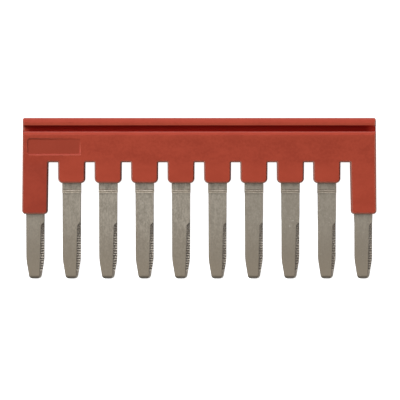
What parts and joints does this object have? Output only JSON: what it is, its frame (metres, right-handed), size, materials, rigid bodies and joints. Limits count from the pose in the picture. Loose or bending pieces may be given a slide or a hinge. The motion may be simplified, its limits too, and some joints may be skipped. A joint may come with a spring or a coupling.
{
  "type": "terminal block jumper bar",
  "caption": "Plug-in jumper bar for terminal blocks: a slim insulated head with a pull groove and end legs carries a row of two-leaf plated contact blades.",
  "frame": {"origin": "middle of the bar in X and Y, on the plane that its back lies on", "axes": "+X along the row of contacts, to the right when the label field is at the upper left; +Y from the contact tips to the pull edge; +Z out of the front face"},
  "size_m": [0.0506, 0.023, 0.003],
  "materials": {
    "red_insulation": "matte",
    "plated_contact_sheet": "satin"
  },
  "bodies": {
    "root": {"insulating_housing": "red_insulation", "front_contact_comb": "plated_contact_sheet", "rear_contact_comb": "plated_contact_sheet"}
  },
  "joints": []
}
